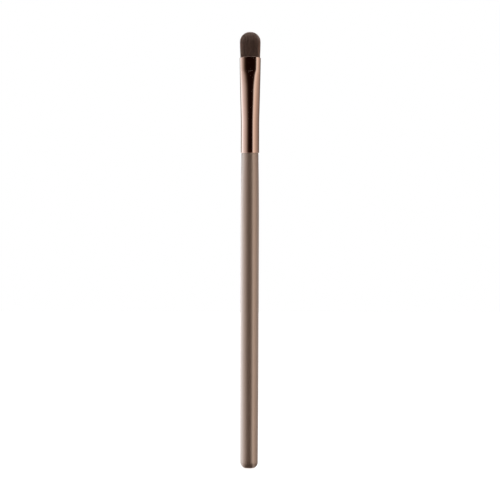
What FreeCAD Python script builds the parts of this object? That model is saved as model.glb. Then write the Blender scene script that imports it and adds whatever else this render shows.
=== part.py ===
import FreeCAD, Part
import math
import os

# Flat eyeshadow brush, butt down at z = 0 and tuft up, its wide side along X. Sizes are in millimetres.

# Lengths along the brush
handle_length = 119.3
ferrule_length = 36.2
tuft_length = 9.5

# Handle, measured over its lacquer
butt_diameter = 6.7
butt_flat_diameter = 1.9
butt_taper_length = 45.6
belly_diameter = 7.0
neck_taper_length = 29.3
neck_step = 0.25
lacquer_thickness = 0.18
tenon_length = 10.0
tenon_chamfer = 0.5
glue_film = 0.18

# Ferrule, a drawn tube that widens upwards and is pressed flat at its mouth
tube_diameter = 6.93
tube_wall = 0.3
round_length = 10.5
press_length = 5.3
crease_width = 7.88
crease_thickness = 5.5
mouth_width = 8.06
mouth_thickness = 5.2
lower_rim_radius = 0.2
mouth_rim_radius = 0.1

# How the tube goes over from round to pressed, as shares of the flare's height, widening and thinning
flare_shares = ((0.0, 0.0, 0.0), (0.28, 0.24, 0.16), (0.5, 0.49, 0.37), (0.73, 0.71, 0.58),
                (0.9, 0.91, 0.84), (1.0, 1.0, 1.0))
end_radius_share = 0.92
round_split_angle = 62.0
edge_near_share = 0.1

# Hair bundle in the ferrule, with its tie and its resin
plug_height = 8.2
tail_height = 4.4
tail_inset = 0.8
binding_height = 2.0
binding_thickness = 0.25

# Free tuft, and the hinge that stands for its bending
tuft_width = 7.6
tuft_thickness = 4.5
dome_height = 3.55
tuft_clearance = 0.05
root_clearance = 0.15
flex_angle = 30.0
flex_margin_angle = 2.0

# Sizes and heights that follow
butt_corner_radius = (butt_diameter - butt_flat_diameter) / 2
belly_start = butt_corner_radius + butt_taper_length
belly_end = handle_length - neck_taper_length
tube_radius = tube_diameter / 2
bore_radius = tube_radius - tube_wall
tenon_radius = bore_radius - glue_film
tenon_shoulder = handle_length + tenon_length - tenon_chamfer
flare_start = handle_length + round_length
mouth_z = handle_length + ferrule_length
crease_z = mouth_z - press_length
plug_top = flare_start + plug_height
tail_bottom = plug_top - tail_height
binding_top = plug_top + binding_height
bundle_inset = tube_wall + binding_thickness
tuft_inset = tube_wall + tuft_clearance
root_top = mouth_z - mouth_thickness / 2 + tuft_inset - root_clearance
dome_base = mouth_z + tuft_length - dome_height


def point(x, y, z):
    """A point of the brush's frame."""
    return FreeCAD.Vector(x, y, z)


def arc(start, middle, end):
    """The arc through three points, as an edge."""
    return Part.Arc(start, middle, end).toShape()


def line(start, end):
    """The straight edge between two points."""
    return Part.LineSegment(start, end).toShape()


def between(start, end, share):
    """The value that lies a share of the way from start to end."""
    return start + (end - start) * share


def easing_radius(end_radius, straight_radius):
    """Radius half-way along a gentle curve that runs out straight at straight_radius."""
    return straight_radius - (straight_radius - end_radius) / 4


def handle_body(inset):
    """The handle below the ferrule, drawn in by an inset: flat butt, slow taper, straight belly, neck."""
    flat = butt_flat_diameter / 2
    butt = butt_diameter / 2 - inset
    belly = belly_diameter / 2 - inset
    neck = tube_radius - neck_step - inset
    corner = butt_corner_radius - inset
    diagonal = corner * math.cos(math.pi / 4)
    axis_low = point(0, 0, inset)
    axis_high = point(0, 0, handle_length)
    flat_edge = point(flat, 0, inset)
    corner_end = point(butt, 0, butt_corner_radius)
    belly_low = point(belly, 0, belly_start)
    belly_high = point(belly, 0, belly_end)
    neck_end = point(neck, 0, handle_length)
    corner_middle = point(flat + diagonal, 0, butt_corner_radius - diagonal)
    taper_middle = point(easing_radius(butt, belly), 0, (butt_corner_radius + belly_start) / 2)
    neck_middle = point(easing_radius(neck, belly), 0, (belly_end + handle_length) / 2)
    outline = Part.Wire([
        line(axis_low, flat_edge),
        arc(flat_edge, corner_middle, corner_end),
        arc(corner_end, taper_middle, belly_low),
        line(belly_low, belly_high),
        arc(belly_high, neck_middle, neck_end),
        line(neck_end, axis_high),
        line(axis_high, axis_low),
    ])
    return Part.Face(outline).revolve(axis_low, point(0, 0, 1), 360)


def make_handle_core():
    """Turned stick with its tenon, bevelled at the end."""
    straight = Part.makeCylinder(tenon_radius, tenon_shoulder - handle_length, point(0, 0, handle_length))
    bevel = Part.makeCone(tenon_radius, tenon_radius - tenon_chamfer, tenon_chamfer,
                          point(0, 0, tenon_shoulder))
    return handle_body(lacquer_thickness).fuse([straight, bevel]).removeSplitter()


def make_handle_lacquer():
    """Coat over all of the handle that stays outside the ferrule."""
    return handle_body(0).cut(handle_body(lacquer_thickness))


def make_tenon_glue():
    """Film of adhesive between the tenon and the ferrule."""
    base = point(0, 0, handle_length)
    height = tenon_shoulder - handle_length
    return Part.makeCylinder(bore_radius, height, base).cut(Part.makeCylinder(tenon_radius, height, base))


def oval_points(half_width, half_thickness, inset):
    """An oval of four tangent arcs, drawn in by an inset: its tip, its crown and where two arcs meet."""
    end_radius = end_radius_share * half_thickness
    reach = half_width - end_radius
    spare = half_thickness - end_radius
    side_radius = (reach ** 2 + half_thickness ** 2 - end_radius ** 2) / (2 * spare)
    drop = side_radius - half_thickness
    lean = math.atan2(reach, drop)
    meet_x = (side_radius - inset) * math.sin(lean)
    meet_y = (side_radius - inset) * math.cos(lean) - drop
    return half_width - inset, half_thickness - inset, meet_x, meet_y


def four_arcs(tip, crown, x, y, z):
    """Closed wire of four arcs across the brush at height z."""
    return Part.Wire([
        arc(point(x, y, z), point(0, crown, z), point(-x, y, z)),
        arc(point(-x, y, z), point(-tip, 0, z), point(-x, -y, z)),
        arc(point(-x, -y, z), point(0, -crown, z), point(x, -y, z)),
        arc(point(x, -y, z), point(tip, 0, z), point(x, y, z)),
    ])


def oval(half_width, half_thickness, z, inset):
    """Oval section at height z, drawn in by an inset."""
    return four_arcs(*oval_points(half_width, half_thickness, inset), z)


def circle(radius, z):
    """Round section at height z, parted in four as the ovals are."""
    split = math.radians(round_split_angle)
    return four_arcs(radius, radius, radius * math.sin(split), radius * math.cos(split), z)


def flare_oval(share, inset):
    """Section at a share of the flare's height, drawn in by an inset."""
    for low, high in zip(flare_shares, flare_shares[1:]):
        if share <= high[0]:
            way = (share - low[0]) / (high[0] - low[0])
            widening = between(low[1], high[1], way)
            thinning = between(low[2], high[2], way)
            break
    half_width = between(tube_radius, crease_width / 2, widening)
    half_thickness = between(tube_radius, crease_thickness / 2, thinning)
    return oval(half_width, half_thickness, between(flare_start, crease_z, share), inset)


def bundle_oval(z, inset):
    """Section inside the flare at height z, drawn in by an inset."""
    return flare_oval((z - flare_start) / (crease_z - flare_start), inset)


def pressed_oval(share, inset):
    """Section of the pressed stretch: the crease at share 0, the mouth at share 1, drawn in by an inset."""
    half_width = between(crease_width, mouth_width, share) / 2
    half_thickness = between(crease_thickness, mouth_thickness, share) / 2
    return oval(half_width, half_thickness, between(crease_z, mouth_z, share), inset)


def tube_form(inset):
    """The tube's whole form, drawn in by an inset: round stretch, flare and pressed stretch."""
    radius = tube_radius - inset
    straight = Part.Face(circle(radius, handle_length)).extrude(point(0, 0, round_length))
    sections = [circle(radius, flare_start)]
    sections += [flare_oval(station[0], inset) for station in flare_shares[1:]]
    flare = Part.makeLoft(sections, True, False)
    pressed = Part.makeLoft([pressed_oval(0, inset), pressed_oval(1, inset)], True, True)
    return straight.fuse([flare, pressed])


def outer_edges(tube, bore, z):
    """The edges at one end of the tube, at height z, that lie outside its bore."""
    near = edge_near_share * tube_wall
    found = []
    for edge in tube.Edges:
        middle = edge.valueAt((edge.FirstParameter + edge.LastParameter) / 2)
        level = abs(edge.BoundBox.ZMin - z) < near and abs(edge.BoundBox.ZMax - z) < near
        if level and not bore.isInside(middle, near, True):
            found.append(edge)
    return found


def make_ferrule(bore):
    """Drawn tube, its lower edge rolled in a little and its mouth's edge broken."""
    tube = tube_form(0).cut(bore)
    tube = tube.makeFillet(lower_rim_radius, outer_edges(tube, bore, handle_length))
    return tube.makeFillet(mouth_rim_radius, outer_edges(tube, bore, mouth_z))


def slab(bottom, top):
    """A plate across the whole brush from bottom to top."""
    side = 2 * mouth_width
    return Part.makeBox(side, side, top - bottom, point(-side / 2, -side / 2, bottom))


def make_tail():
    """The hair bundle's end below its tie, drawn together in the resin."""
    return Part.makeLoft([bundle_oval(tail_bottom, bundle_inset + tail_inset),
                          bundle_oval(plug_top, bundle_inset)], True, True)


def make_waist():
    """The hair bundle's stretch inside its tie."""
    return Part.makeLoft([bundle_oval(plug_top, bundle_inset), bundle_oval(binding_top, bundle_inset)],
                         True, True)


def make_root_plug(bore):
    """Resin that fills the ferrule round the hair bundle's end."""
    return bore.common(slab(flare_start, plug_top)).cut(make_tail())


def make_hair_binding(bore):
    """Band of thread wound round the hair bundle."""
    return bore.common(slab(plug_top, binding_top)).cut(make_waist())


def make_hair_roots(bore):
    """Hairs packed in the ferrule, drawn in at their tie and below it."""
    packed = bore.common(slab(binding_top, root_top))
    return packed.fuse([make_waist(), make_tail()]).removeSplitter()


def make_swivel():
    """The tuft's end inside the mouth, round about the hinge so that it turns in its own space."""
    tip, crown, x, y = oval_points(mouth_width / 2, mouth_thickness / 2, tuft_inset)
    end_radius = end_radius_share * mouth_thickness / 2 - tuft_inset
    half_turn = math.atan2(y, x - tip + end_radius) / 2
    side_x = tip - end_radius + end_radius * math.cos(half_turn)
    side_y = end_radius * math.sin(half_turn)
    outline = Part.Wire([
        arc(point(-tip, 0, mouth_z), point(-side_x, side_y, mouth_z), point(-x, y, mouth_z)),
        arc(point(-x, y, mouth_z), point(0, crown, mouth_z), point(x, y, mouth_z)),
        arc(point(x, y, mouth_z), point(side_x, side_y, mouth_z), point(tip, 0, mouth_z)),
        line(point(tip, 0, mouth_z), point(-tip, 0, mouth_z)),
    ])
    return Part.Face(outline).revolve(point(0, 0, mouth_z), point(1, 0, 0), 360)


def make_rim_relief(side):
    """Wedge over one flat side of the mouth that the tuft leaves free for bending."""
    reach = side * mouth_thickness
    rise = mouth_thickness * math.tan(math.radians(flex_angle + flex_margin_angle))
    corners = [point(-mouth_width, 0, mouth_z), point(-mouth_width, reach, mouth_z),
               point(-mouth_width, reach, mouth_z + rise)]
    face = Part.Face(Part.makePolygon(corners + corners[:1]))
    return face.extrude(point(2 * mouth_width, 0, 0))


def make_free_hairs():
    """Free hairs, turned and pressed flat: full at the mouth, a little wider above, domed at the top."""
    mouth, widest = mouth_width / 2 - tuft_inset, tuft_width / 2
    diagonal = math.cos(math.pi / 4)
    low, top = point(0, 0, mouth_z), point(0, 0, mouth_z + tuft_length)
    mouth_edge, dome_edge = point(mouth, 0, mouth_z), point(widest, 0, dome_base)
    side_middle = point(easing_radius(mouth, widest), 0, (mouth_z + dome_base) / 2)
    dome_middle = point(widest * diagonal, 0, dome_base + dome_height * diagonal)
    outline = Part.Wire([
        line(low, mouth_edge),
        arc(mouth_edge, side_middle, dome_edge),
        arc(dome_edge, dome_middle, top),
        line(top, low),
    ])
    pressing = FreeCAD.Matrix()
    pressing.scale(1, tuft_thickness / tuft_width, 1)
    return Part.Face(outline).revolve(low, point(0, 0, 1), 360).transformGeometry(pressing)


def make_hair_tuft():
    """Free hairs with their end in the mouth, cut back so that they clear the mouth's rim when they bend."""
    cleared = make_free_hairs().cut([make_rim_relief(1), make_rim_relief(-1)])
    return cleared.fuse(make_swivel()).removeSplitter()


def main():
    """Builds each piece and writes it to parts/, one file per piece."""
    os.makedirs("parts", exist_ok=True)
    bore = tube_form(tube_wall)
    pieces = {
        "handle_core": make_handle_core(),
        "handle_lacquer": make_handle_lacquer(),
        "tenon_glue": make_tenon_glue(),
        "ferrule": make_ferrule(bore),
        "root_plug": make_root_plug(bore),
        "hair_binding": make_hair_binding(bore),
        "hair_roots": make_hair_roots(bore),
        "hair_tuft": make_hair_tuft(),
    }
    for name, shape in pieces.items():
        print(name, len(shape.Solids), round(shape.Volume, 3), shape.isValid())
        shape.exportStep(f"parts/{name}.step")


main()
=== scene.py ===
"""Looks of a flat eyeshadow brush: lacquered handle, rose-gold ferrule, brown hair and a white studio.

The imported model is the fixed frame. The handle's coat, the ferrule and the free hairs are modelled anew in
its place, and the pieces inside keep their solids and get their finish. Lengths are in metres.
"""

import json
import logging
import math
from abc import ABC, abstractmethod
from collections.abc import Iterable, Iterator
from dataclasses import dataclass, field
from enum import Enum

import bmesh
import bpy
import numpy as np
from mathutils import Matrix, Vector


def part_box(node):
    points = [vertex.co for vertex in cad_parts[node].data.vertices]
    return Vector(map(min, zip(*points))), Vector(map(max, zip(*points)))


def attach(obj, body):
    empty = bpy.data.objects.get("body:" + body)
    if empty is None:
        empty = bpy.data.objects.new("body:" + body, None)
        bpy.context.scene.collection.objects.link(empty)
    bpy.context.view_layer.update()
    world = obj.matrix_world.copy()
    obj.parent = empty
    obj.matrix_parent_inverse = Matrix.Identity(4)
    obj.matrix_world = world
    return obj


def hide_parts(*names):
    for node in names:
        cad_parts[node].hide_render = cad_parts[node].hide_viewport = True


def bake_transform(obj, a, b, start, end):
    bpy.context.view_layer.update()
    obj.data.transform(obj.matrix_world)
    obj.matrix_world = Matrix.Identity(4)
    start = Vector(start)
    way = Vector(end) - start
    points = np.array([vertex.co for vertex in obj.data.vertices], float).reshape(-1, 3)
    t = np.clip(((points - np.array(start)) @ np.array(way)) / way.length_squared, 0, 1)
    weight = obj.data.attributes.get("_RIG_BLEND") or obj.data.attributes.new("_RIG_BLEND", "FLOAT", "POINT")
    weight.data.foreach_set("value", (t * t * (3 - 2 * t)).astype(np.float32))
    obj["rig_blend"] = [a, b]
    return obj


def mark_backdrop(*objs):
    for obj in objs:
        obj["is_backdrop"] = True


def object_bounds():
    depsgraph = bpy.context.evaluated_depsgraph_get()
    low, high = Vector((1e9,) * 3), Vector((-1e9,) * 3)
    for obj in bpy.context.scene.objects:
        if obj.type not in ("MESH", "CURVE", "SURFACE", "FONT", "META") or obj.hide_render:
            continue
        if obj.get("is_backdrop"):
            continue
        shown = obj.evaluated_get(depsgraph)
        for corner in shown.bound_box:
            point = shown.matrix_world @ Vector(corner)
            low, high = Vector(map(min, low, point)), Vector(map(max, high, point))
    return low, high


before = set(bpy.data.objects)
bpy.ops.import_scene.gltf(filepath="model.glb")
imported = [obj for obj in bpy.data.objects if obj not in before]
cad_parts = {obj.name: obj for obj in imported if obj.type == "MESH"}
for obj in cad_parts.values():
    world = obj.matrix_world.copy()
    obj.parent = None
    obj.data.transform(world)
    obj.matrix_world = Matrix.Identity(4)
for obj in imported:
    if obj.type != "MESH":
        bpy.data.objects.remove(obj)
cad_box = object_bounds()

MM = 0.001
GOLDEN_TURN = math.pi * (3 - math.sqrt(5))
log = logging.getLogger("eyeshadow_brush")
Socket = bpy.types.NodeSocket


def linear_colour(code: str) -> tuple[float, float, float, float]:
    """Turns a colour code into the numbers that a socket takes.

    Args:
        code: Six hexadecimal digits of an sRGB colour.

    Returns:
        Linear red, green and blue, and an alpha of 1.
    """
    shares = [int(code[i:i + 2], 16) / 255 for i in (0, 2, 4)]
    light = [s / 12.92 if s <= 0.04045 else ((s + 0.055) / 1.055) ** 2.4 for s in shares]
    return light[0], light[1], light[2], 1.0


def deselect_all() -> None:
    """Leaves no object selected, so that the next operator acts on what it adds."""
    bpy.ops.object.select_all(action="DESELECT")


class NodeBoard:
    """A node tree with short calls to place and join its nodes."""

    MIX_INPUTS = (0, 6, 7)
    MIX_OUTPUT = 2

    def __init__(self, tree: bpy.types.NodeTree) -> None:
        """Takes a tree and empties it."""
        self.tree = tree
        tree.nodes.clear()

    def feed(self, socket: Socket, value: object) -> None:
        """Sets a socket, or links it if the value is another node's output.

        Args:
            socket: The input to feed.
            value: A plain value or an output.
        """
        if isinstance(value, Socket):
            self.tree.links.new(value, socket)
        else:
            socket.default_value = value

    def add(self, kind: str, inputs: dict[str | int, object] | None = None,
            **settings: object) -> bpy.types.Node:
        """Adds a node.

        Args:
            kind: The node's type.
            inputs: Values or outputs for its inputs, by name or number.
            settings: The node's own properties.

        Returns:
            The new node.
        """
        node = self.tree.nodes.new(kind)
        for name, value in settings.items():
            setattr(node, name, value)
        for name, value in (inputs or {}).items():
            self.feed(node.inputs[name], value)
        return node

    def place(self, stretch: tuple[float, float, float] = (1.0, 1.0, 1.0)) -> Socket:
        """Gives the place on the piece, scaled along each axis by stretch."""
        where = self.add("ShaderNodeTexCoord").outputs["Object"]
        return self.add("ShaderNodeMapping", {"Vector": where, "Scale": stretch}).outputs["Vector"]

    def noise(self, where: Socket, size: float, detail: float = 2.0) -> Socket:
        """Gives soft noise from 0 to 1 with features about size wide."""
        inputs = {"Vector": where, "Scale": 1 / size, "Detail": detail}
        return self.add("ShaderNodeTexNoise", inputs).outputs["Fac"]

    def cells(self, where: Socket, size: float) -> Socket:
        """Gives a colour at random for each grain of about this size."""
        return self.add("ShaderNodeTexVoronoi", {"Vector": where, "Scale": 1 / size}).outputs["Color"]

    def attribute(self, name: str) -> Socket:
        """Gives a number that the mesh carries."""
        return self.add("ShaderNodeAttribute", attribute_name=name).outputs["Fac"]

    def ramp(self, factor: Socket, stops: list[tuple[float, tuple[float, ...]]]) -> Socket:
        """Gives colours along a factor.

        Args:
            factor: What runs from 0 to 1.
            stops: Places along it, in order, each with its linear colour.

        Returns:
            The colour output.
        """
        node = self.add("ShaderNodeValToRGB", {"Fac": factor})
        elements = node.color_ramp.elements
        while len(elements) < len(stops):
            elements.new(1.0)
        for element, (position, colour) in zip(elements, stops):
            element.position = position
            element.color = colour
        return node.outputs["Color"]

    def spread(self, factor: Socket, limits: tuple[float, float]) -> Socket:
        """Maps a factor of 0 to 1 to a number between two limits."""
        inputs = {"Value": factor, "To Min": limits[0], "To Max": limits[1]}
        return self.add("ShaderNodeMapRange", inputs).outputs["Result"]

    def mix(self, factor: Socket, first: object, second: object) -> Socket:
        """Mixes two colours by a factor."""
        inputs = dict(zip(self.MIX_INPUTS, (factor, first, second)))
        return self.add("ShaderNodeMix", inputs, data_type="RGBA").outputs[self.MIX_OUTPUT]

    def bump(self, height: Socket, depth: float, normal: Socket | None = None) -> Socket:
        """Gives the surface a relief of this depth, over another normal if there is one.

        Args:
            height: How high the relief is, from 0 to 1.
            depth: Its full height.
            normal: The normal under it.

        Returns:
            The normal output.
        """
        inputs: dict[str | int, object] = {"Height": height, "Distance": depth}
        if normal is not None:
            inputs["Normal"] = normal
        return self.add("ShaderNodeBump", inputs).outputs["Normal"]

    def tilted(self, by: Socket, amount: float) -> Socket:
        """Gives the surface's normal, tilted at random by a colour of each grain.

        Args:
            by: A colour at random for each grain.
            amount: How far a grain may lean.

        Returns:
            The tilted normal.
        """
        centred = self.add("ShaderNodeVectorMath", {0: by, 1: (0.5, 0.5, 0.5)}, operation="SUBTRACT")
        lean = self.add("ShaderNodeVectorMath", {0: centred.outputs[0], "Scale": amount}, operation="SCALE")
        normal = self.add("ShaderNodeNewGeometry").outputs["Normal"]
        total = self.add("ShaderNodeVectorMath", {0: normal, 1: lean.outputs[0]}, operation="ADD")
        return self.add("ShaderNodeVectorMath", {0: total.outputs[0]}, operation="NORMALIZE").outputs[0]

    def principled(self, inputs: dict[str | int, object]) -> Socket:
        """Gives a surface shader with these inputs."""
        return self.add("ShaderNodeBsdfPrincipled", inputs).outputs["BSDF"]


def new_material(name: str) -> tuple[bpy.types.Material, NodeBoard]:
    """Makes an empty material.

    Args:
        name: The material's name.

    Returns:
        The material, and the board for its nodes.
    """
    material = bpy.data.materials.new(name)
    material.use_nodes = True
    return material, NodeBoard(material.node_tree)


class Finish(ABC):
    """A finish that is made once and laid on pieces."""

    name: str

    @abstractmethod
    def shade(self, board: NodeBoard) -> Socket:
        """Builds the finish's nodes.

        Args:
            board: Where the nodes are placed.

        Returns:
            The finish's shader.
        """

    def lay_on(self, piece: bpy.types.Object) -> None:
        """Makes the finish the only one of a piece.

        Args:
            piece: What is dressed.
        """
        material = bpy.data.materials.get(self.name) or self._make()
        piece.data.materials.clear()
        piece.data.materials.append(material)

    def _make(self) -> bpy.types.Material:
        """Makes the finish's material.

        Returns:
            The material.
        """
        material, board = new_material(self.name)
        board.add("ShaderNodeOutputMaterial", {"Surface": self.shade(board)})
        return material


@dataclass(frozen=True)
class PearlLacquer(Finish):
    """Satin taupe lacquer over fine pearl flakes."""

    name: str = "taupe_pearl_lacquer"
    tone: str = "bd9e85"
    deep_tone: str = "b4957c"
    metal_share: float = 0.62
    roughness: tuple[float, float] = (0.34, 0.39)
    gloss: float = 1.0
    gloss_roughness: float = 0.36
    gloss_ior: float = 2.75
    sheen: float = 0.95
    sheen_roughness: float = 0.3
    sheen_tone: str = "ffebe6"
    cloud_size: float = 16 * MM
    cloud_mix: tuple[float, float] = (0.2, 0.8)
    flake_size: float = 0.08 * MM
    flake_mix: tuple[float, float] = (0.0, 0.3)
    flake_tilt: float = 0.1
    ripple_size: float = 1.6 * MM
    ripple_depth: float = 0.0002 * MM

    def shade(self, board: NodeBoard) -> Socket:
        """Builds slow clouds of tone, flakes that each lean their own way, and a faint ripple.

        Args:
            board: Where the nodes are placed.

        Returns:
            The finish's shader.
        """
        place = board.place()
        clouds = board.noise(place, self.cloud_size, detail=3.0)
        flakes = board.cells(place, self.flake_size)
        deep_tone = linear_colour(self.deep_tone)
        clouded = board.mix(board.spread(clouds, self.cloud_mix), deep_tone, linear_colour(self.tone))
        grain = board.add("ShaderNodeSeparateColor", {"Color": flakes}).outputs["Red"]
        colour = board.mix(board.spread(grain, self.flake_mix), clouded, deep_tone)
        ripple = board.noise(place, self.ripple_size, detail=1.0)
        normal = board.bump(ripple, self.ripple_depth, board.tilted(flakes, self.flake_tilt))
        return board.principled({"Base Color": colour, "Metallic": self.metal_share,
                                 "Roughness": board.spread(clouds, self.roughness), "Normal": normal,
                                 "Coat Weight": self.gloss, "Coat Roughness": self.gloss_roughness,
                                 "Coat IOR": self.gloss_ior,
                                 "Sheen Weight": self.sheen, "Sheen Roughness": self.sheen_roughness,
                                 "Sheen Tint": linear_colour(self.sheen_tone)})


@dataclass(frozen=True)
class RoseGold(Finish):
    """Polished rose-gold metal with the faint lengthwise lines of a drawn tube."""

    name: str = "polished_rose_gold"
    tone: str = "f6d9ca"
    deep_tone: str = "f0cfbe"
    roughness: tuple[float, float] = (0.06, 0.15)
    line_width: float = 0.05 * MM
    line_stretch: float = 0.006
    line_depth: float = 0.00003 * MM
    cloud_size: float = 9 * MM

    def shade(self, board: NodeBoard) -> Socket:
        """Builds draw lines in the roughness and relief, and a slow change of tone.

        Args:
            board: Where the nodes are placed.

        Returns:
            The finish's shader.
        """
        lines = board.noise(board.place((1.0, 1.0, self.line_stretch)), self.line_width, detail=3.0)
        clouds = board.noise(board.place(), self.cloud_size, detail=3.0)
        colour = board.mix(clouds, linear_colour(self.deep_tone), linear_colour(self.tone))
        return board.principled({"Base Color": colour, "Metallic": 1.0,
                                 "Roughness": board.spread(lines, self.roughness),
                                 "Normal": board.bump(lines, self.line_depth)})


@dataclass(frozen=True)
class BrownHair(Finish):
    """Dark brown hair whose tips are paler, partly in their own colour and partly as painted light, each
    hair in its own tone.
    """

    name: str = "brown_hair"
    dark_tones: tuple[str, str, str] = ("462b1d", "482c1e", "735444")
    light_tones: tuple[str, str, str] = ("a07a68", "a68270", "cdb0a2")
    pale_start: float = 0.87
    roughness: float = 0.38
    specular: float = 1.0
    sheen: float = 0.45
    sheen_roughness: float = 0.4
    sheen_tone: str = "dfb9a3"

    def shade(self, board: NodeBoard) -> Socket:
        """Builds a dark and a light hair along their length and mixes them by each hair's tone.

        Args:
            board: Where the nodes are placed.

        Returns:
            The finish's shader.
        """
        along = board.attribute("along")
        # The tips pale from pale_start on: partly the thin tips' own colour, partly painted light for light
        # that falls on the dome from above and shines through the tips.
        steps = (0.0, self.pale_start, 1.0)
        dark, light = (board.ramp(along, list(zip(steps, map(linear_colour, tones))))
                       for tones in (self.dark_tones, self.light_tones))
        colour = board.mix(board.attribute("tone"), dark, light)
        return board.principled({"Base Color": colour, "Roughness": self.roughness,
                                 "Specular IOR Level": self.specular,
                                 "Sheen Weight": self.sheen, "Sheen Roughness": self.sheen_roughness,
                                 "Sheen Tint": linear_colour(self.sheen_tone)})


@dataclass(frozen=True)
class PackedHair(Finish):
    """The hairs' roots, packed side by side in the ferrule."""

    name: str = "packed_hair"
    tone: str = "4a382f"
    deep_tone: str = "241812"
    hair_width: float = 0.07 * MM
    hair_stretch: float = 0.004
    relief: float = 0.02 * MM
    roughness: float = 0.5

    def shade(self, board: NodeBoard) -> Socket:
        """Builds fine lengthwise strands.

        Args:
            board: Where the nodes are placed.

        Returns:
            The finish's shader.
        """
        strands = board.noise(board.place((1.0, 1.0, self.hair_stretch)), self.hair_width)
        colour = board.mix(strands, linear_colour(self.deep_tone), linear_colour(self.tone))
        return board.principled({"Base Color": colour, "Roughness": self.roughness,
                                 "Normal": board.bump(strands, self.relief)})


@dataclass(frozen=True)
class BareWood(Finish):
    """Pale turned wood with lengthwise grain."""

    name: str = "bare_wood"
    tone: str = "d9b98a"
    deep_tone: str = "b98f5c"
    grain_width: float = 0.5 * MM
    grain_stretch: float = 0.04
    pore_width: float = 0.08 * MM
    pore_stretch: float = 0.03
    pore_depth: float = 0.01 * MM
    roughness: tuple[float, float] = (0.55, 0.75)

    def shade(self, board: NodeBoard) -> Socket:
        """Builds growth bands and fine pores along the stick.

        Args:
            board: Where the nodes are placed.

        Returns:
            The finish's shader.
        """
        bands = board.noise(board.place((1.0, 1.0, self.grain_stretch)), self.grain_width, detail=4.0)
        pores = board.noise(board.place((1.0, 1.0, self.pore_stretch)), self.pore_width)
        colour = board.mix(bands, linear_colour(self.deep_tone), linear_colour(self.tone))
        return board.principled({"Base Color": colour, "Roughness": board.spread(pores, self.roughness),
                                 "Normal": board.bump(pores, self.pore_depth)})


@dataclass(frozen=True)
class Resin(Finish):
    """Hardened glue or resin with small clouds and a glossy skin."""

    name: str
    tone: str
    deep_tone: str
    cloud_size: float = 1.2 * MM
    roughness: tuple[float, float] = (0.25, 0.4)

    def shade(self, board: NodeBoard) -> Socket:
        """Builds clouds of tone and an uneven gloss.

        Args:
            board: Where the nodes are placed.

        Returns:
            The finish's shader.
        """
        clouds = board.noise(board.place(), self.cloud_size, detail=4.0)
        colour = board.mix(clouds, linear_colour(self.deep_tone), linear_colour(self.tone))
        return board.principled({"Base Color": colour, "Roughness": board.spread(clouds, self.roughness)})


@dataclass(frozen=True)
class WoundThread(Finish):
    """Waxed thread wound round and round."""

    PITCH_AT_SCALE_ONE = math.pi / 10

    name: str = "wound_thread"
    tone: str = "d8cdb8"
    deep_tone: str = "8f826c"
    pitch: float = 0.22 * MM
    wander: float = 0.3
    fuzz_size: float = 0.06 * MM
    relief: float = 0.06 * MM
    roughness: tuple[float, float] = (0.6, 0.85)

    def shade(self, board: NodeBoard) -> Socket:
        """Builds the turns of the thread and its fibres.

        Args:
            board: Where the nodes are placed.

        Returns:
            The finish's shader.
        """
        inputs = {"Vector": board.place(), "Scale": self.PITCH_AT_SCALE_ONE / self.pitch,
                  "Distortion": self.wander}
        turns = board.add("ShaderNodeTexWave", inputs, bands_direction="Z").outputs["Fac"]
        fuzz = board.noise(board.place(), self.fuzz_size)
        colour = board.mix(turns, linear_colour(self.deep_tone), linear_colour(self.tone))
        return board.principled({"Base Color": colour, "Roughness": board.spread(fuzz, self.roughness),
                                 "Normal": board.bump(turns, self.relief)})


@dataclass(frozen=True)
class BrushSizes:
    """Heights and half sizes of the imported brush, read from its nodes."""

    neck: float
    mouth: float
    tip: float
    belly_radius: float
    tube_radius: float
    mouth_half_width: float

    @classmethod
    def from_frame(cls) -> "BrushSizes":
        """Reads the sizes from the boxes of the coat, the ferrule and the tuft.

        Returns:
            The sizes.
        """
        coat, ferrule, tuft = (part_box(name)[1] for name in ("handle_lacquer", "ferrule", "hair_tuft"))
        return cls(neck=coat.z, mouth=ferrule.z, tip=tuft.z, belly_radius=coat.x,
                   tube_radius=ferrule.y, mouth_half_width=ferrule.x)


@dataclass(frozen=True)
class Curve:
    """A smooth curve through a few points that starts level and keeps its end values outside them."""

    points: tuple[tuple[float, float], ...]

    def at(self, place: float) -> float:
        """Gives the curve's value at a place.

        Args:
            place: Where along the curve.

        Returns:
            The value there.
        """
        places, values = np.array(self.points).T
        slopes = np.gradient(values, places)
        slopes[0] = 0.0
        place = float(np.clip(place, places[0], places[-1]))
        i = int(np.clip(np.searchsorted(places, place) - 1, 0, len(places) - 2))
        span = places[i + 1] - places[i]
        t = (place - places[i]) / span
        bow = span * t * (1 - t) * (slopes[i] * (1 - t) - slopes[i + 1] * t)
        return float(values[i] + (values[i + 1] - values[i]) * t * t * (3 - 2 * t) + bow)


@dataclass(frozen=True)
class Oval:
    """A level outline. With a power of 2 it is an ellipse, and with more it has flatter sides."""

    half_width: float
    half_thickness: float
    power: float = 2.0

    def point(self, turn: float) -> tuple[float, float]:
        """Finds a point of the outline.

        Args:
            turn: The angle from +X to which the outline's outward normal points there, in radians.

        Returns:
            The point's x and y.
        """
        across, along = math.cos(turn), math.sin(turn)
        wide, thick = abs(across) * self.half_width, abs(along) * self.half_thickness
        both = self.power / (self.power - 1)
        reach = (wide ** both + thick ** both) ** (1 / both)
        return (math.copysign(self.half_width * (wide / reach) ** (both - 1), across),
                math.copysign(self.half_thickness * (thick / reach) ** (both - 1), along))

    def inset(self, depth: float) -> "Oval":
        """Gives the outline that lies a depth further in."""
        return Oval(self.half_width - depth, self.half_thickness - depth, self.power)


@dataclass(frozen=True)
class Ring:
    """One level ring of a skin."""

    height: float
    outline: Oval


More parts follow.
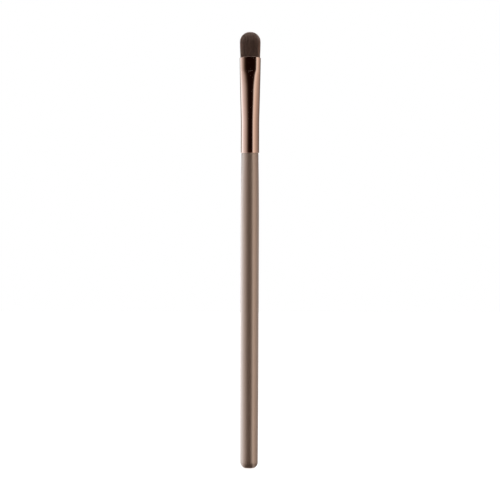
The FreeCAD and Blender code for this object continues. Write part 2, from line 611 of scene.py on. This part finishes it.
class RingSkin:
    """A mesh that is raised ring by ring in edit mode, as a pot is thrown."""

    MERGE_WITHIN = 0.00006 * MM
    SMOOTH_ANGLE = math.radians(50)

    def __init__(self, name: str, first: Ring, points: int, filled: bool) -> None:
        """Adds the first ring.

        Args:
            name: The piece's name.
            first: Where the skin begins.
            points: Points round each ring.
            filled: Whether the first ring is closed by a fan of faces.
        """
        deselect_all()
        fill = "TRIFAN" if filled else "NOTHING"
        bpy.ops.mesh.primitive_circle_add(vertices=points, radius=first.outline.half_width, fill_type=fill)
        self.piece = bpy.context.object
        self.piece.name = self.piece.data.name = name
        bpy.ops.object.mode_set(mode="EDIT")
        bpy.ops.mesh.select_mode(type="VERT")
        self._mark_turns(first)

    def _mark_turns(self, first: Ring) -> None:
        """Notes each point's angle, which its copies keep, and selects the ring without its middle.

        Args:
            first: The first ring.
        """
        mesh = bmesh.from_edit_mesh(self.piece.data)
        turn = mesh.verts.layers.float.new("turn")
        for point in mesh.verts:
            on_ring = point.co.to_2d().length > first.outline.half_width / 2
            point[turn] = math.atan2(point.co.y, point.co.x)
            point.co.z = first.height
            point.select_set(on_ring)
        mesh.select_flush_mode()
        mesh.select_flush(False)
        bmesh.update_edit_mesh(self.piece.data)
        self._shape(first)

    def _shape(self, ring: Ring) -> None:
        """Moves the selected points to a ring's outline.

        Args:
            ring: Where the points go.
        """
        mesh = bmesh.from_edit_mesh(self.piece.data)
        turn = mesh.verts.layers.float["turn"]
        for point in mesh.verts:
            if point.select:
                point.co = (*ring.outline.point(point[turn]), ring.height)
        bmesh.update_edit_mesh(self.piece.data)

    def grow(self, rings: Iterable[Ring]) -> None:
        """Extrudes the open edge through each ring in turn.

        Args:
            rings: The rings, in order.
        """
        for ring in rings:
            bpy.ops.mesh.extrude_region_move()
            self._shape(ring)

    def close_in_point(self) -> None:
        """Extrudes the open edge once more and draws it together in its middle."""
        bpy.ops.mesh.extrude_region_move()
        bpy.ops.mesh.merge(type="CENTER")

    def finish(self) -> bpy.types.Object:
        """Joins points that coincide, turns the faces outwards and leaves edit mode.

        Returns:
            The piece, smooth, in its place.
        """
        bpy.ops.mesh.select_all(action="SELECT")
        bpy.ops.mesh.remove_doubles(threshold=self.MERGE_WITHIN)
        bpy.ops.mesh.normals_make_consistent(inside=False)
        bpy.ops.object.mode_set(mode="OBJECT")
        self.piece.data.attributes.remove(self.piece.data.attributes["turn"])
        bpy.ops.object.shade_smooth_by_angle(angle=self.SMOOTH_ANGLE)
        return self.piece


@dataclass
class HandleCoat:
    """The lacquer coat over the handle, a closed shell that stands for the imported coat."""

    sizes: BrushSizes
    finish: Finish = field(default_factory=PearlLacquer)
    points: int = 128
    thickness: float = 0.18 * MM
    butt_flat_radius: float = 0.95 * MM
    butt_radius: float = 3.35 * MM
    neck_radius: float = 3.215 * MM
    taper_length: float = 45.6 * MM
    neck_length: float = 29.3 * MM
    edge_radius: float = 0.06 * MM
    butt_rings: int = 16
    taper_rings: int = 18
    neck_rings: int = 20
    edge_rings: int = 4

    def build(self) -> bpy.types.Object:
        """Raises the outer skin from the butt, turns in at the neck and goes down inside to the butt.

        Returns:
            The coat.
        """
        outer = list(self._outline(0.0))
        inner = list(self._outline(self.thickness))
        skin = RingSkin("handle_coat", outer[0], self.points, True)
        skin.grow(outer[1:-1])
        skin.grow(self._top_edge())
        skin.grow(reversed(inner))
        skin.close_in_point()
        piece = skin.finish()
        self.finish.lay_on(piece)
        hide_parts("handle_lacquer")
        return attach(piece, "shank")

    def _ring(self, radius: float, height: float) -> Ring:
        """Gives a round ring."""
        return Ring(height, Oval(radius, radius))

    def _outline(self, inset: float) -> Iterator[Ring]:
        """Runs up the handle's outline, drawn in by an inset: butt, slow taper, belly and neck.

        Args:
            inset: How far in the outline lies.

        Returns:
            The rings, from the butt to the neck.
        """
        corner = self.butt_radius - self.butt_flat_radius
        for step in range(self.butt_rings + 1):
            lean = math.pi / 2 * step / self.butt_rings
            radius = self.butt_flat_radius + (corner - inset) * math.sin(lean)
            yield self._ring(radius, corner - (corner - inset) * math.cos(lean))
        belly = self.sizes.belly_radius
        for step in range(1, self.taper_rings + 1):
            share = step / self.taper_rings
            radius = belly - (belly - self.butt_radius) * (1 - share) ** 2
            yield self._ring(radius - inset, corner + self.taper_length * share)
        for step in range(self.neck_rings + 1):
            share = step / self.neck_rings
            radius = belly - (belly - self.neck_radius) * share ** 2
            yield self._ring(radius - inset, self.sizes.neck - self.neck_length * (1 - share))

    def _top_edge(self) -> Iterator[Ring]:
        """Rounds the coat's edge under the ferrule.

        Returns:
            The rings of the edge, from outside.
        """
        for step in range(self.edge_rings + 1):
            lean = math.pi / 2 * step / self.edge_rings
            drop = self.edge_radius * (1 - math.sin(lean))
            radius = self.neck_radius - self.edge_radius * (1 - math.cos(lean))
            yield self._ring(radius, self.sizes.neck - drop)


@dataclass
class Ferrule:
    """The drawn tube: round below, flaring, and pressed flat above a crease."""

    sizes: BrushSizes
    finish: Finish = field(default_factory=RoseGold)
    points: int = 192
    wall: float = 0.3 * MM
    round_length: float = 10.5 * MM
    press_length: float = 5.3 * MM
    crease_half_width: float = 3.94 * MM
    crease_half_thickness: float = 2.75 * MM
    mouth_half_thickness: float = 2.6 * MM
    roll_depth: float = 0.1 * MM
    roll_height: float = 0.12 * MM
    rim_radius: float = 0.075 * MM
    rim_crown: float = 0.42 * MM
    crown_level_share: float = 0.6
    crease_step: float = 0.0125 * MM
    crease_step_height: float = 0.05 * MM
    roll_rings: int = 8
    round_rings: int = 5
    flare_rings: int = 52
    crease_rings: int = 3
    press_rings: int = 16
    rim_rings: int = 10
    widening: Curve = Curve(((0.0, 0.0), (0.28, 0.24), (0.5, 0.49), (0.73, 0.71), (0.9, 0.91), (1.0, 1.0)))
    thinning: Curve = Curve(((0.0, 0.0), (0.28, 0.16), (0.5, 0.37), (0.73, 0.58), (0.9, 0.84), (1.0, 1.0)))
    squareness: Curve = Curve(((-8 * MM, 2.0), (-3.4 * MM, 2.13), (-1.1 * MM, 2.3), (-0.4 * MM, 2.46),
                               (0.0, 2.6), (0.8 * MM, 2.74), (1.5 * MM, 2.75), (5.3 * MM, 2.7)))

    def build(self) -> bpy.types.Object:
        """Raises the outer wall, rounds the mouth's rim and goes down the bore to the start.

        Returns:
            The tube.
        """
        first = self._at(self.sizes.neck, self.roll_depth)
        skin = RingSkin("ferrule_tube", first, self.points, False)
        skin.grow(self._lower_roll())
        skin.grow(self._wall_rings(0.0))
        skin.grow(self._mouth_rim())
        skin.grow(reversed(list(self._wall_rings(self.wall))))
        skin.grow([self._at(self.sizes.neck, self.wall), first])
        piece = skin.finish()
        self._crown(piece)
        self.finish.lay_on(piece)
        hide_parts("ferrule")
        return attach(piece, "shank")

    @property
    def flare_start(self) -> float:
        """Height where the round stretch ends."""
        return self.sizes.neck + self.round_length

    @property
    def crease(self) -> float:
        """Height of the crease under the pressed stretch."""
        return self.sizes.mouth - self.press_length

    def _outline(self, height: float) -> Oval:
        """Gives the outer outline at a height.

        Args:
            height: Where on the brush.

        Returns:
            The outline there.
        """
        radius = self.sizes.tube_radius
        if height <= self.flare_start:
            return Oval(radius, radius)
        above = height - self.crease
        power = self.squareness.at(above)
        if above <= 0.0:
            share = 1 + above / (self.crease - self.flare_start)
            return Oval(radius + (self.crease_half_width - radius) * self.widening.at(share),
                        radius + (self.crease_half_thickness - radius) * self.thinning.at(share), power)
        share = above / self.press_length
        step = self.crease_step * min(1.0, above / self.crease_step_height)
        thinner = (self.crease_half_thickness - self.mouth_half_thickness) * share
        return Oval(self.crease_half_width + (self.sizes.mouth_half_width - self.crease_half_width) * share,
                    self.crease_half_thickness - step - thinner, power)

    def _at(self, height: float, inset: float) -> Ring:
        """Gives the ring at a height, drawn in by an inset."""
        return Ring(height, self._outline(height).inset(inset))

    def _lower_roll(self) -> Iterator[Ring]:
        """Rolls the lower edge out from the handle to the tube's full size.

        Returns:
            The rings of the roll, from below.
        """
        for step in range(1, self.roll_rings + 1):
            lean = math.pi / 2 * step / self.roll_rings
            yield self._at(self.sizes.neck + self.roll_height * (1 - math.cos(lean)),
                           self.roll_depth * (1 - math.sin(lean)))

    def _wall_rings(self, inset: float) -> Iterator[Ring]:
        """Runs up the wall from above the roll to below the rim, closest at the crease.

        Args:
            inset: How far in from the outer side.

        Returns:
            The rings, from below.
        """
        low = self.sizes.neck + self.roll_height
        top = self.sizes.mouth - self.rim_radius
        near = self.crease_step_height
        under_rim = top - self.rim_radius / 2
        spans = ((low, self.flare_start, self.round_rings),
                 (self.flare_start, self.crease - near, self.flare_rings),
                 (self.crease - near, self.crease, 1),
                 (self.crease, self.crease + near, self.crease_rings),
                 (self.crease + near, self.crease + 2 * near, 1),
                 (self.crease + 2 * near, under_rim, self.press_rings),
                 (under_rim, top, 1))
        for start, end, rings in spans:
            for step in range(1, rings + 1):
                yield self._at(start + (end - start) * step / rings, inset)

    def _mouth_rim(self) -> Iterator[Ring]:
        """Rounds the rim over the wall's thickness.

        Returns:
            The rings of the rim, from outside.
        """
        top = self.sizes.mouth - self.rim_radius
        for step in range(1, self.rim_rings + 1):
            lean = math.pi * step / self.rim_rings
            inset = self.wall / 2 * (1 - math.cos(lean))
            outline = self._outline(self.sizes.mouth).inset(inset)
            yield Ring(top + self.rim_radius * math.sin(lean), outline)

    def _crown(self, piece: bpy.types.Object) -> None:
        """Lifts the mouth's rim on the two faces and lowers it at the sides, as the press leaves it.

        Args:
            piece: The tube.
        """
        for point in piece.data.vertices:
            share = max(0.0, (point.co.z - self.crease) / self.press_length)
            face = min(1.0, abs(point.co.y) / self.mouth_half_thickness) ** 4
            point.co.z += self.rim_crown * share ** 2 * (face - self.crown_level_share)


class HairLayer(Enum):
    """The tuft's two layers, each with its name and where it begins and ends, as shares of the way out."""

    BUNDLE = ("tuft_bundle", 0.0, 0.85)
    VEIL = ("tuft_veil", 0.85, 1.0)


@dataclass(frozen=True)
class Strand:
    """One hair as it is modelled: points about a line of unit length, and the faces between them."""

    points: np.ndarray
    faces: list[tuple[int, ...]]


@dataclass
class HairTuft:
    """Some thousands of hairs that stand in the ferrule's mouth and end in a dome."""

    sizes: BrushSizes
    bore_half_width: float
    bore_half_thickness: float
    finish: Finish = field(default_factory=BrownHair)
    seed: int = 71
    hairs: int = 6800
    clumps: int = 80
    turn_jitter: float = 0.01
    hair_radius: float = 0.034 * MM
    sides: int = 3
    joints: tuple[tuple[float, float], ...] = (
        (0.3, 1.0), (0.25, 0.98), (0.2, 0.94), (0.13, 0.85), (0.07, 0.75), (0.05, 0.4))
    root_depth: float = 2.0 * MM
    half_width: float = 3.87 * MM
    half_thickness: float = 2.3 * MM
    dome_height: float = 3.55 * MM
    fuzz: float = 0.2 * MM
    mouth_gap: float = 0.04 * MM
    mouth_power: float = 2.7
    lean: float = 0.05 * MM
    clump_lean: float = 0.06 * MM
    pinch_share: float = 0.14
    shortfall: float = 0.06 * MM
    clump_shortfall: float = 0.05 * MM
    curl: tuple[float, float] = (0.26, 0.44)
    tone: float = 0.18
    tone_spread: float = 0.12
    clump_tone_spread: float = 0.07
    tone_limits: tuple[float, float] = (0.02, 0.98)
    # Painted rim light: hairs towards the tuft's narrow sides get a lighter tone, standing in for the side
    # light on its edges.
    painted_rim_light: float = 0.8
    painted_rim_start: float = 0.6
    bend_start: float = -1.6 * MM
    bend_end: float = 1.6 * MM
    map_margin_across: float = 0.03
    map_margin_along: float = 0.02
    map_half_width: float = 0.012

    def build(self) -> list[bpy.types.Object]:
        """Models one hair, plants its copies in two layers and lets them bend with the tuft.

        Returns:
            The two layers.
        """
        strand = self._model_strand()
        pieces = [self._plant(layer, strand) for layer in HairLayer]
        for piece in pieces:
            self.finish.lay_on(piece)
            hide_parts("hair_tuft")
            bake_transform(piece, "shank", "tuft", start=(0.0, 0.0, self.sizes.mouth + self.bend_start),
                     end=(0.0, 0.0, self.sizes.mouth + self.bend_end))
        return pieces

    def _model_strand(self) -> Strand:
        """Models a hair of unit length and radius: a slim rod, drawn out to a point.

        Returns:
            The hair's points and faces.
        """
        deselect_all()
        bpy.ops.mesh.primitive_circle_add(vertices=self.sides, radius=1.0, fill_type="NGON")
        model = bpy.context.object
        bpy.ops.object.mode_set(mode="EDIT")
        for step, shrink in self.joints:
            bpy.ops.mesh.extrude_region_move(TRANSFORM_OT_translate={"value": (0.0, 0.0, step)})
            bpy.ops.transform.resize(value=(shrink, shrink, 1.0))
        bpy.ops.mesh.merge(type="CENTER")
        bpy.ops.mesh.select_all(action="SELECT")
        bpy.ops.mesh.normals_make_consistent(inside=False)
        bpy.ops.object.mode_set(mode="OBJECT")
        points = np.array([v.co for v in model.data.vertices])
        faces = [tuple(p.vertices) for p in model.data.polygons]
        bpy.data.objects.remove(model)
        return Strand(points, faces)

    def _plant(self, layer: HairLayer, strand: Strand) -> bpy.types.Object:
        """Copies the hair to every place of a layer.

        Args:
            layer: Which layer to plant.
            strand: The hair to copy.

        Returns:
            The layer as one piece.
        """
        name, low, high = layer.value
        rng = np.random.default_rng(self.seed)
        out = np.sqrt((np.arange(self.hairs) + 0.5) / self.hairs)
        turn = np.arange(self.hairs) * GOLDEN_TURN + rng.normal(0.0, self.turn_jitter, self.hairs)
        kept = (out >= low) & (out < high)
        habit = self._habits(out, turn, rng)
        places = self._follow(out[kept], turn[kept], {k: v[kept] for k, v in habit.items()}, strand)
        return self._mesh(name, places, habit["tone"][kept], strand)

    def _habits(self, out: np.ndarray, turn: np.ndarray, rng: np.random.Generator) -> dict[str, np.ndarray]:
        """Draws each hair's own ways.

        Args:
            out: How far out each hair stands, from 0 to 1.
            turn: Its angle about the brush's axis.
            rng: Where the numbers are drawn from.

        Returns:
            How each hair leans, gathers to its clump, ends short, curls in, is twisted and is toned, the
            tone lightened at the narrow sides as painted rim light.
        """
        clump_out = np.sqrt(rng.uniform(0.0, 1.0, self.clumps))
        clump_turn = rng.uniform(0.0, 2 * math.pi, self.clumps)
        centres = clump_out[:, None] * np.c_[np.cos(clump_turn), np.sin(clump_turn)]
        spots = out[:, None] * np.c_[np.cos(turn), np.sin(turn)]
        flatten = np.array([self.half_width, self.half_thickness])
        gaps = ((spots[:, None] - centres[None]) * flatten) ** 2
        clump = gaps.sum(2).argmin(1)
        count = len(out)
        own_short = np.abs(rng.normal(0.0, self.shortfall, count))
        clump_short = np.abs(rng.normal(0.0, self.clump_shortfall, self.clumps))
        clump_tone = rng.normal(0.0, self.clump_tone_spread, self.clumps)
        tone = self.tone + clump_tone[clump] + rng.normal(0.0, self.tone_spread, count)
        # Painted rim light: the tone is raised towards the narrow sides, where the side light would brighten
        # the edges.
        side = (np.abs(spots[:, 0]) - self.painted_rim_start) / (1 - self.painted_rim_start)
        tone = tone + self.painted_rim_light * np.clip(side, 0.0, 1.0)
        return {
            "lean": rng.normal(0.0, self.clump_lean, (self.clumps, 2))[clump]
            + rng.normal(0.0, self.lean, (count, 2)),
            "gather": (centres[clump] - spots) * flatten * self.pinch_share,
            "short": own_short + clump_short[clump],
            "curl": rng.uniform(*self.curl, count),
            "twist": rng.uniform(0.0, 2 * math.pi, count),
            "tone": np.clip(tone, *self.tone_limits),
        }

    def _follow(self, out: np.ndarray, turn: np.ndarray, habit: dict[str, np.ndarray],
                strand: Strand) -> np.ndarray:
        """Lays each hair's points along its way from root to tip.

        Args:
            out: How far out each hair stands, from 0 to 1.
            turn: Its angle about the brush's axis.
            habit: Its own ways.
            strand: The hair as it is modelled.

        Returns:
            Points of every hair, hairs by points by 3.
        """
        mouth = self.sizes.mouth
        dome_base = self.sizes.tip - self.dome_height
        # A hair ends where its inward curl meets the dome: rise is that height's share of the dome, squared.
        square = out ** 2
        curl = habit["curl"]
        flat = 1 - 2 * curl * square
        rise = (np.sqrt(flat ** 2 + 4 * curl ** 2 * square * (1 - square)) - flat) / (2 * curl ** 2 * square)
        dome_height = self.dome_height + self.fuzz
        tip = dome_base + dome_height * np.sqrt(np.clip(rise, 0.0, 1.0)) - habit["short"]
        along = strand.points[:, 2]
        root = mouth - self.root_depth
        height = root + (tip - root)[:, None] * along[None]
        swell = np.clip((height - mouth) / (dome_base - mouth), 0.0, 1.0)
        swell = 1 - (1 - swell) ** 2
        over = np.clip((height - dome_base) / dome_height, 0.0, 1.0)
        draw_in = 1 - curl[:, None] * over ** 2
        half_width = self.bore_half_width - self.mouth_gap
        half_thickness = self.bore_half_thickness - self.mouth_gap
        wide = (half_width + (self.half_width - half_width) * swell) * draw_in
        thick = (half_thickness + (self.half_thickness - half_thickness) * swell) * draw_in
        power = 2 / (self.mouth_power + (2 - self.mouth_power) * swell)
        across, through = np.cos(turn)[:, None], np.sin(turn)[:, None]
        x = out[:, None] * wide * np.sign(across) * np.abs(across) ** power
        y = out[:, None] * thick * np.sign(through) * np.abs(through) ** power
        free = np.clip((height - mouth) / (self.sizes.tip - mouth), 0.0, 1.0) ** 2
        drift = habit["lean"] + habit["gather"]
        swing = habit["twist"][:, None] + np.arctan2(strand.points[:, 1], strand.points[:, 0])[None]
        girth = self.hair_radius * np.hypot(strand.points[:, 0], strand.points[:, 1])[None]
        x = x + free * drift[:, :1] + girth * np.cos(swing)
        y = y + free * drift[:, 1:] + girth * np.sin(swing)
        return np.stack([x, y, height], axis=2)

    def _mesh(self, name: str, places: np.ndarray, tone: np.ndarray, strand: Strand) -> bpy.types.Object:
        """Joins the hairs of a layer into one mesh, with each hair's tone and the way along it.

        Args:
            name: The piece's name.
            places: Points of every hair.
            tone: Each hair's tone, from 0 to 1.
            strand: The hair as it is modelled.

        Returns:
            The piece.
        """
        count, size = places.shape[:2]
        faces = [tuple(first + corner for corner in face)
                 for first in range(0, count * size, size) for face in strand.faces]
        mesh = bpy.data.meshes.new(name)
        mesh.from_pydata(places.reshape(-1, 3).tolist(), [], faces)
        mesh.polygons.foreach_set("use_smooth", np.ones(len(faces), bool))
        along = np.tile(strand.points[:, 2], count).astype(np.float32)
        tones = np.repeat(tone, size).astype(np.float32)
        for label, values in (("along", along), ("tone", tones)):
            mesh.attributes.new(label, "FLOAT", "POINT").data.foreach_set("value", values)
        self._lay_map(mesh, along, tones, np.tile(strand.points[:, 0], count))
        piece = bpy.data.objects.new(name, mesh)
        bpy.context.scene.collection.objects.link(piece)
        return piece

    def _lay_map(self, mesh: bpy.types.Mesh, along: np.ndarray, tones: np.ndarray, side: np.ndarray) -> None:
        """Lays a map on which a point's place is its hair's tone and the way along the hair.

        Args:
            mesh: The layer's mesh.
            along: How far along its hair each point is, from 0 to 1.
            tones: The tone of each point's hair.
            side: How far to the side of its hair each point is, from -1 to 1.
        """
        corner = np.empty(len(mesh.loops), np.int32)
        mesh.loops.foreach_get("vertex_index", corner)
        room_across = 1 - 2 * self.map_margin_across
        room_along = 1 - 2 * self.map_margin_along
        across = self.map_margin_across + room_across * tones + self.map_half_width * side
        up = self.map_margin_along + room_along * along
        flat = np.stack([across[corner], up[corner]], axis=1)
        mesh.uv_layers.new(name="OFBake").data.foreach_set("uv", flat.astype(np.float32).ravel())


@dataclass
class InnerPieces:
    """The pieces inside, which keep their solids."""

    finishes: dict[str, Finish] = field(default_factory=lambda: {
        "handle_core": BareWood(),
        "tenon_glue": Resin("tenon_adhesive", "d9b777", "b48a45"),
        "root_plug": Resin("root_resin", "7d4f26", "4f2f16", cloud_size=2.5 * MM),
        "hair_binding": WoundThread(),
        "hair_roots": PackedHair(),
    })

    def dress(self) -> list[bpy.types.Object]:
        """Lays each inner piece's finish on its solid.

        Returns:
            The solids.
        """
        solids = {name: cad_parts[name] for name in self.finishes}
        for name, solid in solids.items():
            self.finishes[name].lay_on(solid)
        return list(solids.values())


@dataclass(frozen=True)
class Glow:
    """The tent's light in one direction."""

    bearing: float
    strength: float
    tint: str

    def stop(self) -> tuple[float, tuple[float, ...]]:
        """Gives its place on a full turn, from 0 to 1, and its colour."""
        red, green, blue = (part * self.strength for part in linear_colour(self.tint)[:3])
        return 0.5 + self.bearing / 360, (red, green, blue, 1.0)


@dataclass(frozen=True)
class Card:
    """A glowing card that stands behind the brush, no higher than the handle."""

    name: str
    bearing: float
    glow: float
    tint: str
    distance: float = 0.15
    width: float = 0.11
    height: float = 0.116

    def build(self) -> bpy.types.Object:
        """Stands the card with its face to the brush, where only gloss and light find it.

        Returns:
            The card.
        """
        deselect_all()
        turn = math.radians(self.bearing)
        place = (self.distance * math.sin(turn), -self.distance * math.cos(turn), self.height / 2)
        bpy.ops.mesh.primitive_plane_add(size=1.0, location=place,
                                         rotation=(math.pi / 2, 0.0, turn + math.pi))
        card = bpy.context.object
        card.name = self.name
        card.scale = (self.width, self.height, 1.0)
        card.visible_camera = False
        material, board = new_material(self.name)
        light = board.add("ShaderNodeEmission", {"Color": linear_colour(self.tint), "Strength": self.glow})
        board.add("ShaderNodeOutputMaterial", {"Surface": light.outputs[0]})
        card.data.materials.append(material)
        return card


@dataclass
class Studio:
    """A white room: a pale floor, a white sky and a ring of cloth that is lit left and right."""

    floor_points: int = 96
    tent_points: int = 128
    floor_radius: float = 3.0
    floor_tone: float = 0.55
    floor_glow: float = 0.8
    tent_radius: float = 0.7
    tent_height: float = 0.6
    skirt_low: float = 0.04
    skirt_high: float = 0.14
    cloth_lift: float = 0.3 * MM
    foot_shade: float = 0.15
    foot_radius: float = 9 * MM
    foot_shift: float = 5 * MM
    ground_white_left: float = -121.0
    ground_white_right: float = 140.0
    ground_gain: float = 1.15
    ground_least: float = 0.03
    cards: tuple[Card, ...] = (
        Card("studio_card_left", -136.0, 1.85, "f2f5ff"),
        Card("studio_card_right", 116.0, 0.36, "fffaf6"),
    )
    sky_strength: float = 1.0
    glows: tuple[Glow, ...] = (
        Glow(-180, 1.0, "ffffff"), Glow(-166, 0.9, "ffffff"), Glow(-157, 0.1, "ffe8dc"),
        Glow(-148, 0.08, "ffe8dc"), Glow(-135, 0.35, "fffcfa"),
        Glow(-121, 1.41, "e6f6ff"), Glow(-108, 1.39, "e6f6ff"), Glow(-91, 0.97, "faf9ff"),
        Glow(-75, 0.68, "fff8fb"), Glow(-60, 0.51, "fff6f4"), Glow(-45, 0.32, "ffeee6"),
        Glow(-32, 0.11, "ffe0ce"), Glow(-20, 0.016, "ffb090"), Glow(-8, 0.007, "ff8c60"),
        Glow(17, 0.007, "ff8c60"), Glow(29, 0.034, "ffd0b4"), Glow(39.5, 0.85, "fff7f0"),
        Glow(49, 0.82, "fff1e6"), Glow(60, 0.7, "ffebdc"), Glow(74, 0.52, "ffeadc"),
        Glow(92, 0.38, "ffe8dc"), Glow(112, 0.27, "ffe8dc"), Glow(134, 0.17, "ffeee4"),
        Glow(150, 0.08, "ffe8dc"), Glow(157, 0.1, "ffe8dc"), Glow(166, 0.9, "ffffff"),
        Glow(180, 1.0, "ffffff"),
    )

    def build(self) -> None:
        """Sets the sky, lays the floor and stands the tent and the cards."""
        scene = bpy.context.scene
        scene.view_settings.view_transform = "Standard"
        self._sky(scene)
        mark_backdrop(self._floor(), *self._tent(), *(card.build() for card in self.cards))

    def _sky(self, scene: bpy.types.Scene) -> None:
        """Makes an even white sky.

        Args:
            scene: The scene that gets it.
        """
        world = bpy.data.worlds.new("white_sky")
        world.use_nodes = True
        scene.world = world
        board = NodeBoard(world.node_tree)
        light = board.add("ShaderNodeBackground", {"Strength": self.sky_strength,
                                                   "Color": (1.0, 1.0, 1.0, 1.0)})
        board.add("ShaderNodeOutputWorld", {"Surface": light.outputs[0]})

    def _floor(self) -> bpy.types.Object:
        """Lays a pale floor that looks white and keeps the brush's shadow.

        Returns:
            The floor.
        """
        deselect_all()
        bpy.ops.mesh.primitive_circle_add(vertices=self.floor_points, radius=self.floor_radius,
                                          fill_type="NGON")
        floor = bpy.context.object
        floor.name = "studio_floor"
        material, board = new_material("pale_floor")
        tone = self.floor_tone
        matte = board.add("ShaderNodeBsdfDiffuse", {"Color": (tone, tone, tone, 1.0)})
        path = board.add("ShaderNodeLightPath")
        seen = path.outputs["Is Camera Ray"]
        for kind in ("Is Glossy Ray", "Is Transmission Ray"):
            either = board.add("ShaderNodeMath", {0: seen, 1: path.outputs[kind]}, operation="MAXIMUM")
            seen = either.outputs[0]
        glow = board.add("ShaderNodeMath", {0: seen, 1: self.floor_glow}, operation="MULTIPLY")
        lift = board.add("ShaderNodeEmission", {"Strength": glow.outputs[0]})
        both = board.add("ShaderNodeAddShader", {0: matte.outputs[0], 1: lift.outputs[0]})
        board.add("ShaderNodeOutputMaterial", {"Surface": both.outputs[0]})
        floor.data.materials.append(material)
        return floor

    def _tent(self) -> list[bpy.types.Object]:
        """Stands a ring of glowing cloth round the brush and lays its ground, which only gloss shows.

        Returns:
            The wall and the ground.
        """
        deselect_all()
        bpy.ops.mesh.primitive_cylinder_add(vertices=self.tent_points, radius=self.tent_radius,
                                            depth=self.tent_height, end_fill_type="NOTHING",
                                            location=(0, 0, self.tent_height / 2))
        wall = bpy.context.object
        wall.name = "studio_tent_wall"
        wall.visible_camera = False
        bpy.ops.mesh.primitive_circle_add(vertices=self.tent_points, radius=self.tent_radius,
                                          fill_type="NGON", location=(0, 0, self.cloth_lift))
        ground = bpy.context.object
        ground.name = "studio_tent_ground"
        ground.visible_camera = ground.visible_diffuse = ground.visible_shadow = False
        cloth = self._cloth()
        for part in (wall, ground):
            part.data.materials.append(cloth)
        return [wall, ground]

    def _on_ground(self, glow: Glow) -> Glow:
        """Gives the ground's light in a direction: white behind the brush, elsewhere near the wall's.

        Args:
            glow: The wall's light in that direction.

        Returns:
            The ground's light.
        """
        if not self.ground_white_left < glow.bearing < self.ground_white_right:
            return Glow(glow.bearing, 1.0, "ffffff")
        return Glow(glow.bearing, max(glow.strength * self.ground_gain, self.ground_least), glow.tint)

    def _cloth(self) -> bpy.types.Material:
        """Makes cloth that glows by its direction from the brush, less where the brush's foot shades it.

        Returns:
            The cloth's material.
        """
        material, board = new_material("tent_cloth")
        where = board.add("ShaderNodeNewGeometry").outputs["Position"]
        turned = board.add("ShaderNodeMapping", {"Vector": where, "Rotation": (0.0, 0.0, math.pi / 2)})
        bearing = board.add("ShaderNodeTexGradient", {"Vector": turned.outputs[0]}, gradient_type="RADIAL")
        low, high = (board.ramp(bearing.outputs["Fac"], [glow.stop() for glow in glows])
                     for glows in (map(self._on_ground, self.glows), self.glows))
        height = board.add("ShaderNodeSeparateXYZ", {"Vector": where}).outputs["Z"]
        inputs = {"Value": height, "From Min": self.skirt_low, "From Max": self.skirt_high}
        raised = board.add("ShaderNodeMapRange", inputs, interpolation_type="SMOOTHSTEP").outputs["Result"]
        foot = (self.foot_shift, 0.0, 0.0)
        away = board.add("ShaderNodeVectorMath", {0: where, 1: foot}, operation="DISTANCE").outputs["Value"]
        inputs = {"Value": away, "From Max": self.foot_radius, "To Min": self.foot_shade}
        strength = board.add("ShaderNodeMapRange", inputs).outputs["Result"]
        colour = board.mix(raised, low, high)
        light = board.add("ShaderNodeEmission", {"Color": colour, "Strength": strength})
        board.add("ShaderNodeOutputMaterial", {"Surface": light.outputs[0]})
        return material


@dataclass
class ProductCamera:
    """A long lens square to the brush's wide side."""

    distance: float = 1.2
    frame_width: float = 189.15 * MM
    aim_side: float = 0.12 * MM
    aim_height: float = 82.6 * MM
    roll: float = math.radians(-0.17)
    sensor: float = 36.0

    def build(self) -> None:
        """Sets up the camera and makes it the scene's own."""
        data = bpy.data.cameras.new("product_camera")
        data.sensor_width = self.sensor
        data.lens = self.sensor * self.distance / self.frame_width
        camera = bpy.data.objects.new("product_camera", data)
        camera.location = (self.aim_side, -self.distance, self.aim_height)
        camera.rotation_euler = (math.pi / 2, self.roll, 0.0)
        bpy.context.scene.collection.objects.link(camera)
        bpy.context.scene.camera = camera


def write_sizes(packed: tuple[Vector, Vector], dressed: tuple[Vector, Vector]) -> None:
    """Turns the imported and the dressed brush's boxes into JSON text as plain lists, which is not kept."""
    boxes = {"cad": packed, "visual": dressed}
    json.dumps({name: [list(corner) for corner in box] for name, box in boxes.items()})


def main() -> None:
    """Builds the brush's pieces in order, then the studio and the camera."""
    logging.basicConfig(level=logging.INFO, format="%(name)s: %(message)s")
    sizes = BrushSizes.from_frame()
    ferrule = Ferrule(sizes)
    pieces = [HandleCoat(sizes).build(), ferrule.build()]
    pieces += HairTuft(sizes, sizes.mouth_half_width - ferrule.wall,
                       ferrule.mouth_half_thickness - ferrule.wall).build()
    pieces += InnerPieces().dress()
    for piece in pieces:
        log.info("%s: %d faces", piece.name, len(piece.data.polygons))
    Studio().build()
    ProductCamera().build()


if __name__ == "__main__":
    main()
    write_sizes(cad_box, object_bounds())
